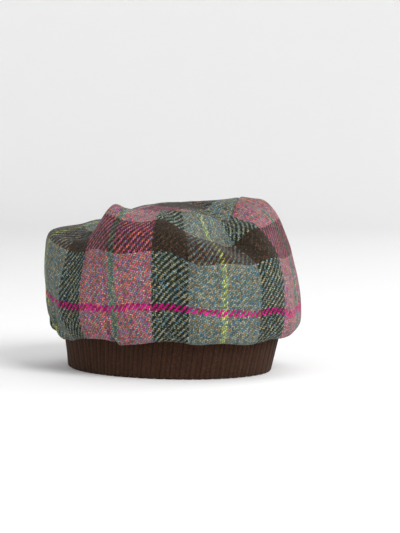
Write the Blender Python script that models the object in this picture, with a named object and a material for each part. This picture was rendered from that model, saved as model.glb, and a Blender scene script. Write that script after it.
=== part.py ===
"""Tweed beret with a ribbed knit band.

Frame: metres, +Z up along the band's axis, the rim on Z = 0, the hat's front towards -Y and the wearer's
right towards -X. A place round the hat is its turn: degrees from the front towards the wearer's right.
"""

import math

import bpy
import numpy as np
from mathutils import Matrix

# Driving sizes of the band, in metres; the rim's half sizes are to its outer face
RIM_HALF_WIDTH = 0.0800
RIM_HALF_DEPTH = 0.0990
BAND_HEIGHT = 0.0370
BAND_THICKNESS = 0.0040
BAND_FLARE = 0.0040
BAND_FORWARD = 0.0060
BAND_EDGE_ROUND = 0.0012
RIB_COUNT = 66
RIB_DEPTH = 0.0010
RIB_GROOVE_SHARE = 0.26

# The crown's weight draws the band's upper edge out on its low side, about this turn and this many degrees wide
BAND_PULL = 0.0070
BAND_PULL_TURN = 125.0
BAND_PULL_WIDTH = 26.0

# Driving sizes of the tweed crown, in metres
CLOTH_THICKNESS = 0.0020
BELLY_OVERHANG = 0.0200
DROOP = 0.0100
CROWN_RISE = 0.1100
TURN_IN = 0.0300
TOP_HALF_WIDTH = 0.0560
TOP_HALF_DEPTH = 0.0620
TOP_SWELL = 0.0095
FOLD_DEPTH = 0.0060
TOP_GATHER_COUNT = 19
TOP_GATHER_DEPTH = 0.0014

# The gathers at the top seam start at this share of the side's length and stand highest nearer the seam
TOP_GATHER_FROM = 0.74
TOP_GATHER_LEAN = 1.6

# The crown's rolled lower edge: where along the overhang it hangs lowest, and where it starts up to the belly
LOWEST_AT_SHARE = 0.42
UPTURN_AT_SHARE = 0.88
UPTURN_RISE_SHARE = 0.28

# The gap that sewn pieces keep between their solids
CLEARANCE = 0.0003

# How finely the solids are faceted. The crown's facets, closest at the low side's narrow folds, are given as
# the turn that each stretch of them ends at and the number in it
CROWN_FACETS = ((96, 24), (156, 24), (360, 51))
PROFILE_STEPS = (1, 2, 2, 1, 2, 2, 2, 3)
TOP_RING_SHARES = (0.74, 0.40)
RIM_MEASURE_STEPS = 7200
SHARP_EDGE_DEGREES = 60

# The crown's sections, by turn. Shares of the named sizes: belly_out of BELLY_OVERHANG, droop of DROOP,
# cheek_in and ridge_in of TURN_IN inwards from the belly, belly_up, cheek_up, ridge_up and seam_up of CROWN_RISE
SECTION_COLUMNS = (
    "turn", "belly_out", "droop", "belly_up", "cheek_in", "cheek_up", "ridge_in", "ridge_up", "seam_up",
)
SECTIONS = (
    (0, 0.72, 0.48, 0.20, 0.21, 0.60, 1.01, 0.82, 0.88),
    (12, 0.70, 0.70, 0.24, 0.17, 0.53, 1.11, 0.67, 0.91),
    (25, 0.82, 0.49, 0.26, 0.21, 0.61, 1.15, 0.75, 0.94),
    (38, 0.93, 0.53, 0.29, 0.35, 0.71, 0.99, 0.80, 0.97),
    (50, 0.76, 0.30, 0.23, 0.30, 0.72, 0.96, 0.89, 0.97),
    (75, 0.87, 0.66, 0.33, 0.00, 0.82, 0.66, 0.93, 0.97),
    (90, 0.90, 0.38, 0.32, 0.14, 0.72, 0.87, 1.01, 0.97),
    (108, 1.01, 0.62, 0.34, 0.50, 0.72, 0.88, 0.74, 0.92),
    (135, 0.80, -0.10, 0.43, 0.12, 0.74, 0.23, 0.78, 0.87),
    (160, 0.42, -0.60, 0.54, -0.05, 0.71, 0.36, 0.80, 0.87),
    (195, 0.62, -0.30, 0.48, 0.05, 0.72, 0.60, 0.84, 0.88),
    (230, 0.90, 0.10, 0.40, 0.22, 0.72, 0.80, 0.88, 0.92),
    (270, 1.12, 0.50, 0.30, 0.35, 0.72, 0.95, 0.94, 0.98),
    (300, 0.98, 0.52, 0.20, 0.38, 0.71, 1.01, 1.00, 1.03),
    (322, 1.00, 0.38, 0.18, 0.42, 0.73, 1.05, 1.00, 1.06),
    (345, 0.75, 0.55, 0.17, 0.35, 0.62, 1.00, 0.88, 1.02),
)

# Folds that run up the side from the gathered edge. Shares: depth of FOLD_DEPTH, inwards, and the stretch of
# the side that the fold spans, from its start to its end; width in degrees
FOLD_COLUMNS = ("turn", "width", "depth", "start", "end")
FOLDS = (
    (6, 6.5, 0.30, 0.05, 0.40),
    (30, 5.5, 0.25, 0.05, 0.35),
    (57, 6.5, 0.30, 0.05, 0.40),
    (80, 5, 0.60, 0.05, 0.36),
    (103, 6.5, 0.45, 0.05, 0.75),
    (119, 3, 0.50, 0.04, 0.50),
    (127, 3.5, 0.50, 0.04, 0.46),
    (136, 3, 0.60, 0.04, 0.44),
    (146, 4, 0.40, 0.05, 0.50),
    (158, 6.5, 0.70, 0.05, 0.45),
    (180, 7, 0.45, 0.05, 0.60),
    (204, 6.5, 0.60, 0.05, 0.45),
    (228, 7, 0.40, 0.05, 0.55),
    (252, 6.5, 0.60, 0.05, 0.45),
    (276, 7, 0.45, 0.05, 0.55),
    (298, 5.5, 0.55, 0.05, 0.40),
    (318, 5.5, 0.50, 0.25, 0.60),
    (338, 6.5, 0.45, 0.05, 0.50),
)

BAND_COLOUR = (0.026, 0.012, 0.008, 1.0)
SIDE_COLOUR = (0.115, 0.105, 0.100, 1.0)
TOP_COLOUR = (0.075, 0.048, 0.036, 1.0)


def column(table, columns, name):
    return np.array([row[columns.index(name)] for row in table], float)


def section_value(name, turn):
    """A column of SECTIONS at these turns, on a smooth closed curve through its rows."""
    at = column(SECTIONS, SECTION_COLUMNS, "turn")
    value = column(SECTIONS, SECTION_COLUMNS, name)
    gap = (np.roll(at, -1) - at) % 360
    rise = (np.roll(value, -1) - value) / gap
    before, after = np.roll(gap, 1), gap
    slope = (np.roll(rise, 1) * after + rise * before) / (before + after)
    start = np.searchsorted(at, turn % 360, side="right") - 1
    end = (start + 1) % len(at)
    share = ((turn % 360) - at[start]) / gap[start]
    bend_start = slope[start] * gap[start] * share * (1 - share) ** 2
    bend_end = slope[end] * gap[start] * share**2 * (1 - share)
    ease = share**2 * (3 - 2 * share)
    return value[start] * (1 - ease) + value[end] * ease + bend_start - bend_end


def outward(turn):
    """Unit vectors that point out from the axis at these turns."""
    angle = np.radians(turn)
    return np.stack([-np.sin(angle), -np.cos(angle)], axis=-1)


def oval_radius(turn, half_width, half_depth):
    angle = np.radians(turn)
    return 1 / np.sqrt((np.sin(angle) / half_width) ** 2 + (np.cos(angle) / half_depth) ** 2)


def band_radius(turn, share):
    """The band's outer radius at a share of its height: flared all round and drawn out on the low side."""
    flare = BAND_FLARE * share
    across = (turn - BAND_PULL_TURN + 180) % 360 - 180
    pull = BAND_PULL * share * np.exp(-((across / BAND_PULL_WIDTH) ** 2))
    return oval_radius(turn, RIM_HALF_WIDTH + flare, RIM_HALF_DEPTH + flare) + pull


def even_turns(places, total):
    """The turns of places counted along the rim, which has this many places in all, from the front."""
    fine = np.linspace(0, 360, RIM_MEASURE_STEPS + 1)
    points = outward(fine) * oval_radius(fine, RIM_HALF_WIDTH, RIM_HALF_DEPTH)[:, None]
    length = np.concatenate([[0.0], np.linalg.norm(np.diff(points, axis=0), axis=-1).cumsum()])
    return np.interp(np.array(places) / total * length[-1], length, fine)


def curve_through(knots, steps):
    """Points on a smooth curve through the knots, with this many steps from each knot to the next."""
    span = np.sqrt(np.linalg.norm(np.diff(knots, axis=0), axis=-1, keepdims=True))
    pace = np.diff(knots, axis=0) / span
    inner = (pace[:-1] * span[1:] + pace[1:] * span[:-1]) / (span[:-1] + span[1:])
    slope = np.concatenate([pace[:1], inner, pace[-1:]])
    points = []
    for i, count in enumerate(steps):
        for step in range(count):
            t = step / count
            ease = t * t * (3 - 2 * t)
            points.append(
                knots[i] * (1 - ease)
                + knots[i + 1] * ease
                + slope[i] * span[i] * t * (1 - t) ** 2
                - slope[i + 1] * span[i] * t * t * (1 - t)
            )
    points.append(knots[-1])
    return np.array(points)


def place(turn, radius, height, forward):
    """World points from turns, radii and heights, about an axis that lies this far forward."""
    flat = outward(turn) * radius[..., None]
    return np.concatenate([flat - np.array([0.0, forward]), height[..., None]], axis=-1)


def fold_depth(turn, share):
    """How far the folds draw the cloth in, by turn and by the share of the side's length."""
    depth = np.zeros(np.broadcast(turn, share).shape)
    for row in FOLDS:
        fold = dict(zip(FOLD_COLUMNS, row))
        across = (turn - fold["turn"] + 180) % 360 - 180
        middle = (fold["start"] + fold["end"]) / 2
        half = (fold["end"] - fold["start"]) / 2
        along = np.clip(1 - ((share - middle) / half) ** 2, 0, None) ** 2
        depth += FOLD_DEPTH * fold["depth"] * np.exp(-((across / fold["width"]) ** 2)) * along
    return depth


def side_profile(turn):
    """Radii and heights of the side's outer face, from the band's upper edge to the top seam."""
    seat_radius = band_radius(turn, 1.0)
    top_radius = oval_radius(turn, TOP_HALF_WIDTH, TOP_HALF_DEPTH)
    seat = BAND_HEIGHT + CLEARANCE + 0 * turn
    out = section_value("belly_out", turn) * BELLY_OVERHANG
    low = BAND_HEIGHT - section_value("droop", turn) * DROOP
    belly = seat_radius + out
    belly_up = BAND_HEIGHT + section_value("belly_up", turn) * CROWN_RISE
    cheek = belly - section_value("cheek_in", turn) * TURN_IN
    cheek_up = BAND_HEIGHT + section_value("cheek_up", turn) * CROWN_RISE
    ridge = belly - section_value("ridge_in", turn) * TURN_IN
    ridge_up = BAND_HEIGHT + section_value("ridge_up", turn) * CROWN_RISE
    seam_up = BAND_HEIGHT + section_value("seam_up", turn) * CROWN_RISE
    radii = (
        seat_radius - BAND_THICKNESS / 2,
        seat_radius + CLEARANCE,
        seat_radius + out * LOWEST_AT_SHARE,
        seat_radius + out * UPTURN_AT_SHARE,
        belly,
        cheek,
        ridge,
        (ridge + top_radius) / 2,
        top_radius,
    )
    heights = (
        seat,
        seat,
        low,
        low + (belly_up - low) * UPTURN_RISE_SHARE,
        belly_up,
        cheek_up,
        ridge_up,
        (ridge_up + seam_up) / 2,
        seam_up,
    )
    knots = np.stack([np.array(radii), np.array(heights)], axis=-1)
    return curve_through(knots, PROFILE_STEPS)


def side_surface(turn):
    """The side's outer face as rows of world points, one row for each step of the profile."""
    profile = side_profile(turn)
    radius, height = profile[..., 0].copy(), profile[..., 1].copy()
    length = np.linalg.norm(np.diff(profile, axis=0), axis=-1).cumsum(axis=0)
    share = np.concatenate([np.zeros((1, len(turn))), length / length[-1]])
    radius -= fold_depth(turn, share)
    near_top = np.clip((share - TOP_GATHER_FROM) / (1 - TOP_GATHER_FROM), 0, 1)
    swell = np.sin(np.pi * near_top**TOP_GATHER_LEAN)
    height += TOP_GATHER_DEPTH * swell * np.cos(np.radians(turn) * TOP_GATHER_COUNT)
    return place(turn, radius, height, BAND_FORWARD)


def surface_normals(grid):
    """Outward normals of a grid whose rows are closed rings."""
    along = np.gradient(grid, axis=0)
    around = np.roll(grid, -1, axis=1) - np.roll(grid, 1, axis=1)
    normal = np.cross(along, around)
    return normal / np.linalg.norm(normal, axis=-1, keepdims=True)


def ring_faces(first, second, count):
    """Quads between two rings of vertices that start at these indices."""
    return [
        (first + i, first + (i + 1) % count, second + (i + 1) % count, second + i)
        for i in range(count)
    ]


def mesh_object(name, points, faces, material):
    mesh = bpy.data.meshes.new(name)
    mesh.from_pydata([tuple(point) for point in points], [], faces)
    mesh.validate()
    mesh.update()
    mesh.shade_smooth()
    mesh.set_sharp_from_angle(angle=math.radians(SHARP_EDGE_DEGREES))
    mesh.materials.append(material)
    made = bpy.data.objects.new(name, mesh)
    bpy.context.scene.collection.objects.link(made)
    return made


def closed_tube(rings):
    """Vertices and faces of a wall made of closed rings, the last one joined to the first."""
    count = rings.shape[1]
    faces = []
    for i in range(len(rings)):
        faces += ring_faces(i * count, (i + 1) % len(rings) * count, count)
    return rings.reshape(-1, 3), faces


def cloth_material(name, colour, roughness):
    material = bpy.data.materials.new(name)
    material.use_nodes = True
    shader = material.node_tree.nodes["Principled BSDF"]
    shader.inputs["Base Color"].default_value = colour
    shader.inputs["Roughness"].default_value = roughness
    shader.inputs["Metallic"].default_value = 0.0
    material.diffuse_color = colour
    return material


def make_band():
    """The knit band: ribs outside, a flat foot on the rim, and a plain inner face."""
    groove = RIB_GROOVE_SHARE / 2
    places = []
    for rib in range(RIB_COUNT):
        places += [rib, rib + groove, rib + 1 - groove]
    turn = even_turns(places, RIB_COUNT)
    in_groove = np.array([1.0, 0.0, 0.0] * RIB_COUNT)
    half = BAND_THICKNESS / 2
    # Each row is a place on the band's section: outwards from the wall's middle, height and share of the groove
    section = (
        (half, BAND_EDGE_ROUND, 1.0),
        (half, BAND_HEIGHT / 2, 1.0),
        (half, BAND_HEIGHT - BAND_EDGE_ROUND, 1.0),
        (half - BAND_EDGE_ROUND, BAND_HEIGHT, 0.0),
        (BAND_EDGE_ROUND - half, BAND_HEIGHT, 0.0),
        (-half, BAND_HEIGHT - BAND_EDGE_ROUND, 0.0),
        (-half, BAND_EDGE_ROUND, 0.0),
        (BAND_EDGE_ROUND - half, 0.0, 0.0),
        (half - BAND_EDGE_ROUND, 0.0, 0.0),
    )
    rings = []
    for out, height, grooved in section:
        shift = height / BAND_HEIGHT
        radius = band_radius(turn, shift) - half + out
        radius -= RIB_DEPTH * grooved * in_groove
        rings.append(place(turn, radius, np.full(len(turn), height), BAND_FORWARD * shift))
    points, faces = closed_tube(np.array(rings))
    return mesh_object("rib_band", points, faces, cloth_material("brown_rib_knit", BAND_COLOUR, 0.9))


def facet_turns():
    """The turns of the crown's facets, from the front and all round."""
    turns = []
    start = 0
    for end, count in CROWN_FACETS:
        turns.append(np.linspace(start, end, count, endpoint=False))
        start = end
    return np.concatenate(turns)


def make_side(turn):
    outer = side_surface(turn)
    inner = outer - surface_normals(outer) * CLOTH_THICKNESS
    # Both sewn edges are cut square: one lies on the band, and the other meets the top panel
    inner[0] = outer[0] + np.array([0.0, 0.0, CLOTH_THICKNESS])
    inner[-1] = outer[-1] - np.array([0.0, 0.0, CLOTH_THICKNESS])
    points, faces = closed_tube(np.concatenate([outer, inner[::-1]]))
    return mesh_object("crown_side", points, faces, cloth_material("plaid_tweed", SIDE_COLOUR, 0.95))


def make_top(turn):
    """The top panel, from the seam to its middle, with a soft swell between."""
    edge = side_surface(turn)[-1]
    middle = np.array([0.0, -BAND_FORWARD, edge[:, 2].mean()])
    inwards = middle[:2] - edge[:, :2]
    inwards /= np.linalg.norm(inwards, axis=-1, keepdims=True)
    rim = edge.copy()
    rim[:, :2] += inwards * CLEARANCE
    rings = [rim]
    for share in TOP_RING_SHARES:
        ring = middle + (rim - middle) * share
        ring[:, 2] = middle[2] + (rim[:, 2] - middle[2]) * share**2 + TOP_SWELL * (1 - share**2)
        rings.append(ring)
    down = np.array([0.0, 0.0, CLOTH_THICKNESS])
    upper = np.array(rings)
    lower = upper[::-1] - down
    count = len(turn)
    stacked = np.concatenate([lower, upper])
    faces = []
    for i in range(len(stacked) - 1):
        faces += ring_faces(i * count, (i + 1) * count, count)
    crest = middle + np.array([0.0, 0.0, TOP_SWELL])
    points = np.concatenate([stacked.reshape(-1, 3), [crest - down, crest]])
    under, over = len(points) - 2, len(points) - 1
    last = (len(stacked) - 1) * count
    for i in range(count):
        after = (i + 1) % count
        faces.append((after, i, under))
        faces.append((last + i, last + after, over))
    return mesh_object("crown_top", points, faces, cloth_material("plaid_tweed_top", TOP_COLOUR, 0.95))


def face_outwards(made):
    """Turns the faces to point out, by the sign of the volume they enclose."""
    mesh = made.data
    points = np.array([vertex.co[:] for vertex in mesh.vertices])
    mesh.calc_loop_triangles()
    corners = points[np.array([triangle.vertices[:] for triangle in mesh.loop_triangles])]
    if np.linalg.det(corners).sum() < 0:
        mesh.flip_normals()


def stand_on_origin(pieces):
    """Moves the pieces together until the origin is under the middle of their box, level with the rim."""
    corners = np.concatenate([[vertex.co[:] for vertex in made.data.vertices] for made in pieces])
    low, high = corners.min(axis=0), corners.max(axis=0)
    shift = Matrix.Translation((-(low[0] + high[0]) / 2, -(low[1] + high[1]) / 2, -low[2]))
    for made in pieces:
        made.data.transform(shift)


def main():
    for old in list(bpy.data.objects):
        bpy.data.objects.remove(old, do_unlink=True)
    turn = facet_turns()
    pieces = (make_band(), make_side(turn), make_top(turn))
    for made in pieces:
        face_outwards(made)
    stand_on_origin(pieces)


main()
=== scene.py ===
"""Tweed beret with a ribbed knit band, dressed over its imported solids.

Metres throughout. A place round the hat is its turn: degrees from the front (-Y) towards the wearer's
right (-X).
"""

import math

import bpy
import numpy as np
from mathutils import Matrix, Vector


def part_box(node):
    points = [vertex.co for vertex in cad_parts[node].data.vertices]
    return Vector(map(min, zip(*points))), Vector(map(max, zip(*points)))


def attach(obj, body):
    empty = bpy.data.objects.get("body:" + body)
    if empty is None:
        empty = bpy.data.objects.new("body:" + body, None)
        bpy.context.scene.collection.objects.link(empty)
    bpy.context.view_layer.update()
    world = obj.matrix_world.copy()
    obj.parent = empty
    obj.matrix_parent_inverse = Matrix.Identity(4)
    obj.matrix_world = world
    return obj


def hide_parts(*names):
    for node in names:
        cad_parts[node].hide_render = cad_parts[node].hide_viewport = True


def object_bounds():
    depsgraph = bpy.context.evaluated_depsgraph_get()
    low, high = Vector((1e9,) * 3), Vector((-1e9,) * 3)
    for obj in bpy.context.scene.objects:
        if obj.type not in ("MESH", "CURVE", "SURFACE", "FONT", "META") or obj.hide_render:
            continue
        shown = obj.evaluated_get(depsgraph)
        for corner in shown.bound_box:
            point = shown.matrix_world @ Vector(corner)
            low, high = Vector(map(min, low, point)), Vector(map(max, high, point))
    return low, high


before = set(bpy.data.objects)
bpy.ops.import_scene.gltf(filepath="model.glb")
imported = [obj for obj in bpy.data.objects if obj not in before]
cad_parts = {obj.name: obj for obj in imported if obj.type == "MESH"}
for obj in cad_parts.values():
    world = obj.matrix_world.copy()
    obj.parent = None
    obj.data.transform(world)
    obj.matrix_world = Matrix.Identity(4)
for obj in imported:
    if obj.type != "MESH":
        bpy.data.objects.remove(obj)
cad_low, cad_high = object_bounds()

# Sizes shared with the solids
RIM_HALF_WIDTH = 0.0800
RIM_HALF_DEPTH = 0.0990
BAND_HEIGHT = 0.0370
BAND_THICKNESS = 0.0040
BAND_FLARE = 0.0040
BAND_FORWARD = 0.0060
BAND_PULL = 0.0070
BAND_PULL_TURN = 125.0
BAND_PULL_WIDTH = 26.0
RIB_COUNT = 66
RIB_DEPTH = 0.0010
CLOTH_THICKNESS = 0.0020
BELLY_OVERHANG = 0.0200
DROOP = 0.0100
CROWN_RISE = 0.1100
TURN_IN = 0.0300
TOP_HALF_WIDTH = 0.0560
TOP_HALF_DEPTH = 0.0620
TOP_SWELL = 0.0095
FOLD_DEPTH = 0.0060
TOP_GATHER_COUNT = 19
TOP_GATHER_DEPTH = 0.0014
TOP_GATHER_FROM = 0.74
TOP_GATHER_LEAN = 1.6
LOWEST_AT_SHARE = 0.42
UPTURN_AT_SHARE = 0.88
UPTURN_RISE_SHARE = 0.28
CLEARANCE = 0.0003

# The crown's sections, by turn, as shares of the named sizes
SECTION_COLUMNS = (
    "turn", "belly_out", "droop", "belly_up", "cheek_in", "cheek_up", "ridge_in", "ridge_up", "seam_up",
)
SECTIONS = (
    (0, 0.72, 0.48, 0.20, 0.21, 0.60, 1.01, 0.82, 0.88),
    (12, 0.70, 0.70, 0.24, 0.17, 0.53, 1.11, 0.67, 0.91),
    (25, 0.82, 0.49, 0.26, 0.21, 0.61, 1.15, 0.75, 0.94),
    (38, 0.93, 0.53, 0.29, 0.35, 0.71, 0.99, 0.80, 0.97),
    (50, 0.76, 0.30, 0.23, 0.30, 0.72, 0.96, 0.89, 0.97),
    (75, 0.87, 0.66, 0.33, 0.00, 0.82, 0.66, 0.93, 0.97),
    (90, 0.90, 0.38, 0.32, 0.14, 0.72, 0.87, 1.01, 0.97),
    (108, 1.01, 0.62, 0.34, 0.50, 0.72, 0.88, 0.74, 0.92),
    (135, 0.80, -0.10, 0.43, 0.12, 0.74, 0.23, 0.78, 0.87),
    (160, 0.42, -0.60, 0.54, -0.05, 0.71, 0.36, 0.80, 0.87),
    (195, 0.62, -0.30, 0.48, 0.05, 0.72, 0.60, 0.84, 0.88),
    (230, 0.90, 0.10, 0.40, 0.22, 0.72, 0.80, 0.88, 0.92),
    (270, 1.12, 0.50, 0.30, 0.35, 0.72, 0.95, 0.94, 0.98),
    (300, 0.98, 0.52, 0.20, 0.38, 0.71, 1.01, 1.00, 1.03),
    (322, 1.00, 0.38, 0.18, 0.42, 0.73, 1.05, 1.00, 1.06),
    (345, 0.75, 0.55, 0.17, 0.35, 0.62, 1.00, 0.88, 1.02),
)

# Folds that run up the side: turn and width in degrees, depth as a share of FOLD_DEPTH, start and end as
# shares of the side's length
FOLD_COLUMNS = ("turn", "width", "depth", "start", "end")
FOLDS = (
    (6, 6.5, 0.30, 0.05, 0.40),
    (30, 5.5, 0.25, 0.05, 0.35),
    (57, 6.5, 0.30, 0.05, 0.40),
    (80, 5, 0.60, 0.05, 0.36),
    (103, 6.5, 0.45, 0.05, 0.75),
    (119, 3, 0.50, 0.04, 0.50),
    (127, 3.5, 0.50, 0.04, 0.46),
    (136, 3, 0.60, 0.04, 0.44),
    (146, 4, 0.40, 0.05, 0.50),
    (158, 6.5, 0.70, 0.05, 0.45),
    (180, 7, 0.45, 0.05, 0.60),
    (204, 6.5, 0.60, 0.05, 0.45),
    (228, 7, 0.40, 0.05, 0.55),
    (252, 6.5, 0.60, 0.05, 0.45),
    (276, 7, 0.45, 0.05, 0.55),
    (298, 5.5, 0.55, 0.05, 0.40),
    (318, 5.5, 0.50, 0.25, 0.60),
    (338, 6.5, 0.45, 0.05, 0.50),
)

# Narrow tucks and ridges where the cloth is gathered into the band, in degrees and metres: each runs from one
# turn to another while it rises over a stretch of the cloth, and stands off it by height, or in where that is
# less than 0
TUCK_COLUMNS = ("turn_low", "turn_high", "start", "end", "width", "height")
TUCKS = (
    (77.0, 83.0, 0.007, 0.032, 2.2, 0.0012),
    (79.5, 86.0, 0.006, 0.034, 1.6, -0.0026),
    (109.0, 117.5, 0.007, 0.030, 1.3, 0.0020),
    (112.0, 120.0, 0.006, 0.030, 1.1, -0.0030),
    (115.0, 125.0, 0.007, 0.036, 1.5, 0.0030),
    (118.5, 128.0, 0.005, 0.034, 1.7, -0.0050),
    (124.5, 125.5, 0.004, 0.024, 2.0, -0.0030),
    (128.5, 130.5, 0.006, 0.024, 1.6, -0.0036),
    (134.5, 132.0, 0.003, 0.020, 1.8, 0.0030),
    (139.0, 137.0, 0.003, 0.013, 1.3, -0.0044),
    (144.5, 141.0, 0.003, 0.015, 2.0, 0.0020),
)

# Powers below 1, which put a tuck's highest place nearer its start and make it fuller along its length
TUCK_LEAN = 0.6
TUCK_FULLNESS = 0.8

# Soft waves of the side's cloth: cells round, cells up and metres. They fade in from the band and out to the
# top over these shares of the side
SIDE_WAVES = ((18, 5, 0.0011), (46, 12, 0.0004))
SIDE_WAVES_FADE = (0.10, 0.06)

# Small gathers beside the band and beside the top seam: degrees from one to the next and how far each may be
# moved, widths in degrees, the least share of the depth, the depth and the reach in metres, and the power
# that they fall off by
GATHER_COLUMNS = ("every", "moved", "narrow", "wide", "least", "depth", "short", "long", "fall")
BAND_GATHERS = (5.6, 1.9, 1.2, 2.4, 0.25, 0.0009, 0.016, 0.034, 1.5)
SEAM_GATHERS = (11.0, 3.5, 2.2, 4.0, 0.20, 0.0012, 0.018, 0.034, 1.4)

# The gathers at the band start from nothing over this much cloth
BAND_GATHERS_START = 0.004

# The top panel's soft waves fade out to its middle, and it has creases beside its seam from a share of its
# radius
PANEL_WAVES = (12, 4, 0.0007)
PANEL_WAVES_FADE = 0.3
PANEL_CREASE_COLUMNS = ("every", "moved", "least", "depth", "narrow", "wide", "start", "fall")
PANEL_CREASES = (12.0, 4.0, 0.2, 0.0006, 2.4, 4.2, 0.72, 1.5)

# Both cloths roll down into the top seam over this width, by these depths
SEAM_ROLL_WIDTH = 0.003
SIDE_ROLL_DEPTH = 0.0012
PANEL_ROLL_DEPTH = 0.0013

# The seam at the back, which joins the strip's ends: its groove, the soft ridges of its allowances at both
# sides, and the share of the side over which it starts at the band
SEAM_TURN = 186.0
SEAM_WIDTH = 0.0016
SEAM_DEPTH = 0.0009
SEAM_RIDGE_SHARE = 0.5
SEAM_RIDGE_AT = 0.005
SEAM_RIDGE_WIDTH = 0.004
SEAM_START = 0.05

# How finely the visible pieces are made, in degrees. The side's segments start at the back seam: a few narrow
# ones, one more up to where the stretches start, and the stretches, as the turn that each ends at and the
# number in it, closest at the low side's tucks
SEAM_SEGMENT = 0.4
SEAM_SEGMENTS = 4
SEAM_STRETCH = 2.4
SIDE_STRETCHES = ((460.0, 310), (512.0, 116), (544.4, 38))

# Steps from each knot of the side's section to the next, and which of the knots is the belly
SIDE_STEPS = (4, 8, 14, 8, 18, 20, 20, 24)
BELLY_KNOT = 4

# The top panel's rings, closer together by its seam through this power, and which rows the inner faces repeat
TOP_RING_COUNT = 44
TOP_RING_EASE = 1.25
INNER_EVERY = 4

# Steps round the oval that the band's even turns are read from
OVAL_STEPS = 7200

# The band's ribs: how finely they are made, the groove's width as a share of a rib, and how deep it is at the
# top edge, inside and at the rim's inner half, as shares of RIB_DEPTH: below 0 is cut outwards, from inside.
# Then how far the rib itself is rounded
RIB_SEGMENTS = 14
BAND_ROWS = 26
BAND_INNER_EVERY = 3
GROOVE_WIDTH = 0.11
EDGE_GROOVE = 0.3
INNER_GROOVE = -0.3
RIM_GROOVE = 0.2
RIB_ROUNDING = 0.00012

# The rim's fold and the top edge: the fold's radius and angles, and how flat the edge is
RIM_RADIUS = 0.0014
RIM_ANGLES = (205, 230, 255, 285, 310, 335)
EDGE_FLATNESS = 0.55

# The grooves lift the rim's lower edge, from this height down, and the whole band is a little uneven: waves
# round the hat, where they start, and how far they turn on the way up
SCALLOP = 0.0005
SCALLOP_HEIGHT = 0.004
BAND_UNEVENNESS = 0.0003
BAND_WAVES = ((5, 1.3, 2.0), (11, 0.4, -3.0))

# The tweed: 2/2 twill, in metres from thread to thread. The columns start at a dark green one, this many
# metres round from the front, and follow the turn; their widths are in threads
WARP_PITCH = 0.00133
WEFT_PITCH = 0.00149
COLUMN_THREADS = (
    ("dark", 23), ("teal", 25), ("yellow", 4), ("teal", 22),
    ("dark", 25), ("pink", 26), ("green", 4), ("pink", 26),
)
ROW_THREADS = (("magenta", 4), ("light", 30), ("brown", 22), ("light", 30))
COLUMN_START = -0.0113

# The twill repeats after this many threads, and each float is a rounded crest
FLOAT_REPEAT = 4.0
FLOAT_ROUNDING = 0.6

# How far one colour of a heather yarn runs along its thread, in threads
FLECK_LENGTH = 0.9

# Stray flecks that show the crossing yarn: how many cells fit a thread, how often, and how strongly. In the
# brown rows the weft's are weaker by one share, and the warp's floats are browner by another
STRAY_PER_THREAD = 1.3
STRAY_IN_WARP = 0.10
STRAY_IN_WEFT = 0.24
STRAY_STRENGTH = 0.85
BROWN_WHOLE = 0.8
BROWN_FUZZ = 0.26

# How much lightness differs from one thread to the next, from one float to the next, and from patch to patch
THREAD_TONE = 0.16
FLOAT_TONE = 0.8
CLOUD_SCALE = 22.0
CLOUD_TONE = 0.22

# Light and dark specks all over: how many fit a metre, and how strong they are
SPECK_SCALE = 1250.0
SPECK_CONTRAST = 2.4

# Painted light and shade of the weave's relief: how light the floats' crests are, and how much darker the gaps
# between them
PAINTED_CREST_SHADE = 1.25
PAINTED_GAP_SHADE = 1.0

# Painted shade in the folds: a fold this deep, in metres, is darkened by this share, and a shallower one
# by less
DEEP_FOLD = 0.0030
DEEP_FOLD_FALL = 1.2
PAINTED_FOLD_SHADE = 0.6

# The tweed's fuzz: how fine its noise is, on metres, and how far it stands off beside a float's crest
FUZZ_SCALE = 2600.0
FUZZ_RELIEF = 0.35

# Where the magenta line and the brown row lie on the side, in metres of cloth up from the band's seam
PLAID_COLUMNS = ("turn", "magenta_up", "brown_up")
PLAID_ROWS = (
    (0, 0.0395, 0.0845),
    (13, 0.0414, 0.0830),
    (27, 0.0412, 0.0825),
    (38, 0.0450, 0.0835),
    (48, 0.0430, 0.0873),
    (58, 0.0430, 0.0905),
    (70, 0.0480, 0.0930),
    (88, 0.0420, 0.0925),
    (98, 0.0440, 0.0930),
    (110, 0.0478, 0.0950),
    (130, 0.0445, 0.0920),
    (160, 0.0470, 0.0950),
    (190, 0.0500, 0.0980),
    (240, 0.0480, 0.0970),
    (290, 0.0440, 0.0940),
    (330, 0.0400, 0.0880),
    (350, 0.0360, 0.0840),
)

# Cloth drawn into the gathers on the low side, in metres round the hat: all the way up, and just above the
# band. It starts at a turn and is complete after this many degrees more
GATHERED_FROM = 98.0
GATHERED_ALL = (0.007, 14.0)
GATHERED_LOW = (0.031, 32.0)
GATHERED_LOW_HEIGHT = (0.018, 0.038)

# Behind the gathers, from a turn and over a span, the low cloth eases back by a share and bends over a
# greater height
GATHERED_EASED_TURNS = (126, 50)
GATHERED_EASED_SHARE = 0.45
GATHERED_EASED_HEIGHT = 0.060

# Each yarn is spun from four colours, in sRGB of 0 to 255. A fleck shows one of them, by the chance at which
# each starts
TONE_STARTS = (0.0, 0.40, 0.62, 0.82)
YARNS = {
    "dark": ((28, 33, 20), (36, 42, 24), (22, 26, 18), (36, 48, 42)),
    "teal": ((84, 102, 96), (124, 98, 64), (60, 96, 114), (120, 126, 112)),
    "yellow": ((144, 154, 78), (166, 170, 94), (128, 142, 84), (108, 128, 98)),
    "pink": ((166, 78, 92), (150, 70, 120), (192, 100, 80), (112, 100, 136)),
    "green": ((82, 112, 92), (78, 100, 94), (104, 120, 90), (108, 100, 100)),
    "light": ((104, 118, 104), (132, 117, 84), (68, 102, 122), (134, 132, 118)),
    "brown": ((54, 36, 27), (66, 44, 33), (42, 28, 21), (70, 52, 42)),
    "magenta": ((178, 8, 108), (158, 8, 96), (190, 24, 122), (146, 16, 90)),
}
BAND_YARN = ((59, 36, 23), (49, 29, 18), (68, 43, 28))
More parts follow.
